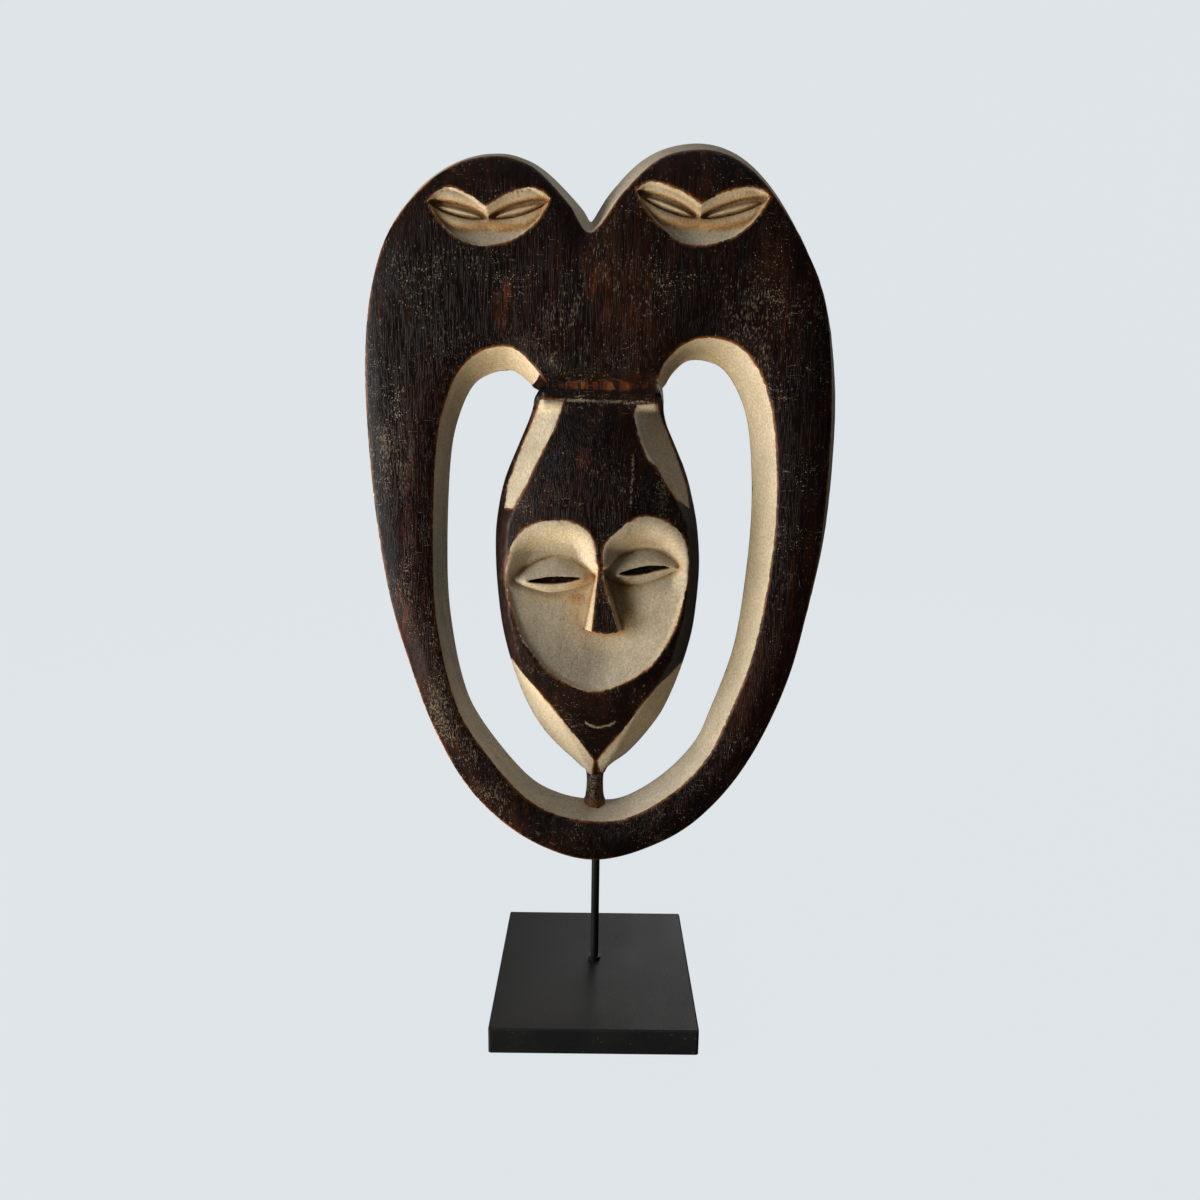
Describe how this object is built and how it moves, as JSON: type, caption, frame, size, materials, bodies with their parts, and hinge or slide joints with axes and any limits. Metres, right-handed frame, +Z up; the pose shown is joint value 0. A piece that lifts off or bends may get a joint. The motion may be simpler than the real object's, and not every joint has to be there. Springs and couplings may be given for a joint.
{
  "type": "carved wooden mask on a display stand",
  "caption": "Heart-shaped carved wooden mask: horns meet round an open centre with a hanging long face, turning on a steel rod over a square block.",
  "frame": {"origin": "middle of the block's footprint, on the surface that the stand rests on", "axes": "+Z up along the rod, -Y the way the mask looks, +X to the right of a viewer who faces the mask"},
  "size_m": [0.3252, 0.142, 0.6019],
  "materials": {
    "carved_wood": "dark stained and waxed face, rubbed to red-brown in places, with chalky cream paint on the edges, face hollow and bands",
    "rod_enamel": "satin black enamel",
    "block_paint": "satin black paint over fine wood fibre",
    "zinc_steel": "bright zinc plate",
    "felt": "dark grey felt"
  },
  "bodies": {
    "base": {"base_block": "block_paint", "foot_pad_front_left": "felt", "foot_pad_front_right": "felt", "foot_pad_back_left": "felt", "foot_pad_back_right": "felt"},
    "rod": {"stand_rod": "rod_enamel", "foot_collar": "rod_enamel", "foot_washer": "zinc_steel", "foot_nut": "zinc_steel"},
    "mask": {"mask_board": "carved_wood"}
  },
  "joints": [
    {"name": "mask_turn", "type": "hinge", "parent": "base", "child": "rod", "pos_m": [0, 0.008, 0], "axis": [0, 0, 1], "continuous": true},
    {"name": "mask_lift", "type": "slide", "parent": "rod", "child": "mask", "axis": [0, 0, 1], "range_m": [0, 0.06]}
  ]
}
